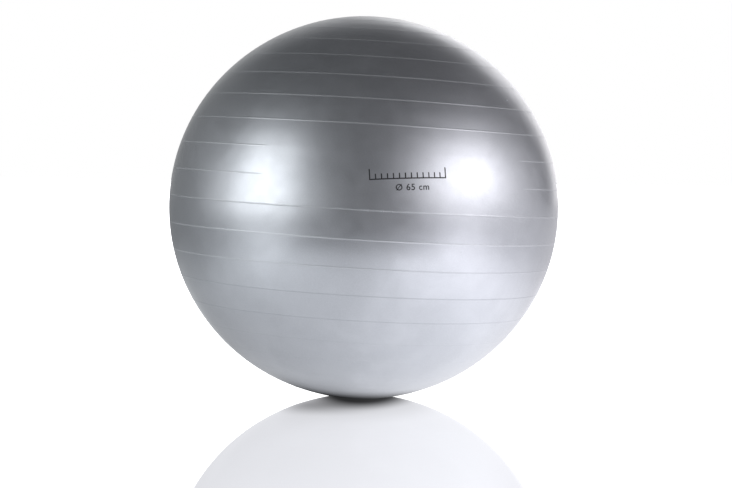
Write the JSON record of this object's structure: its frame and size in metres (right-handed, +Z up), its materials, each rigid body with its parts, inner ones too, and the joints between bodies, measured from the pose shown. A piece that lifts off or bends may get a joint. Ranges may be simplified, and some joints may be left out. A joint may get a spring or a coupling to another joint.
{
  "type": "exercise ball",
  "caption": "Inflatable exercise ball resting on its flattened foot: thin PVC shell with raised grip ribs, bonded valve seat and a barbed plug that pulls out.",
  "frame": {"origin": "middle of the flattened foot on which the ball rests, on the floor", "axes": "+Z up; -Y is the front, which carries the printed size mark; the valve is at the back left; the ribs' axis leans 2.7 degrees from +Z towards +X"},
  "size_m": [0.6492, 0.65, 0.6362],
  "materials": {
    "silver_pvc": "satin",
    "grey_pvc": "satin",
    "white_polyethylene": "satin",
    "print_ink": "satin"
  },
  "bodies": {
    "ball": {"ball_shell": "silver_pvc", "valve_seat": "grey_pvc"},
    "plug": {"valve_plug": "white_polyethylene"}
  },
  "joints": [
    {"name": "plug_pull", "type": "slide", "parent": "ball", "child": "plug", "axis": [-0.4195, 0.873, 0.2488], "range_m": [0, 0.04]}
  ]
}
